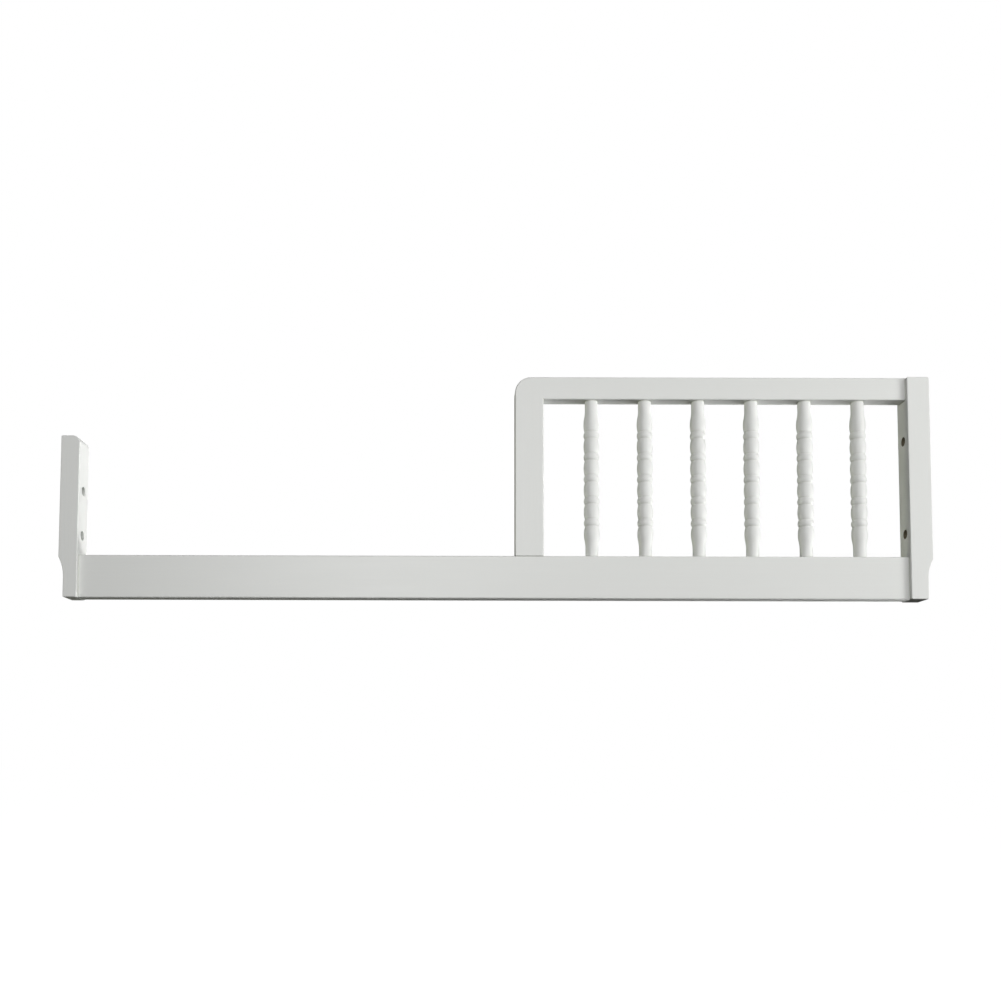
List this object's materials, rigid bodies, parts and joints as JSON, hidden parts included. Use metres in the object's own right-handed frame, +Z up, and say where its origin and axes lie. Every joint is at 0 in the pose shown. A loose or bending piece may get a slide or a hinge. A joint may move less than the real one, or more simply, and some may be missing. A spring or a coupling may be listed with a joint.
{
  "type": "toddler bed guard rail",
  "caption": "Painted wooden rail that turns a crib into a toddler bed: two end posts, a long bottom rail and a half-length guard with bobbin-turned spindles.",
  "frame": {"origin": "midway between the posts' outer faces, in the middle of their depth, at the level of their feet", "axes": "+X along the rail towards the guard, +Y from the room side to the mattress side, +Z up"},
  "size_m": [1.33, 0.038, 0.3445],
  "materials": {
    "painted_wood": "satin off-white paint",
    "bare_beech": "unfinished"
  },
  "bodies": {
    "root": {"left_post": "painted_wood", "right_post": "painted_wood", "bottom_rail": "painted_wood", "top_rail": "painted_wood", "guard_stile": "painted_wood", "spindle_1": "painted_wood", "spindle_2": "painted_wood", "spindle_3": "painted_wood", "spindle_4": "painted_wood", "spindle_5": "painted_wood", "spindle_6": "painted_wood", "dowel_left_post_lower": "bare_beech", "dowel_left_post_upper": "bare_beech", "dowel_right_post_lower": "bare_beech", "dowel_right_post_upper": "bare_beech", "dowel_stile_foot_left": "bare_beech", "dowel_stile_foot_right": "bare_beech", "dowel_stile_head_lower": "bare_beech", "dowel_stile_head_upper": "bare_beech", "dowel_top_rail_end_lower": "bare_beech", "dowel_top_rail_end_upper": "bare_beech"}
  },
  "joints": []
}
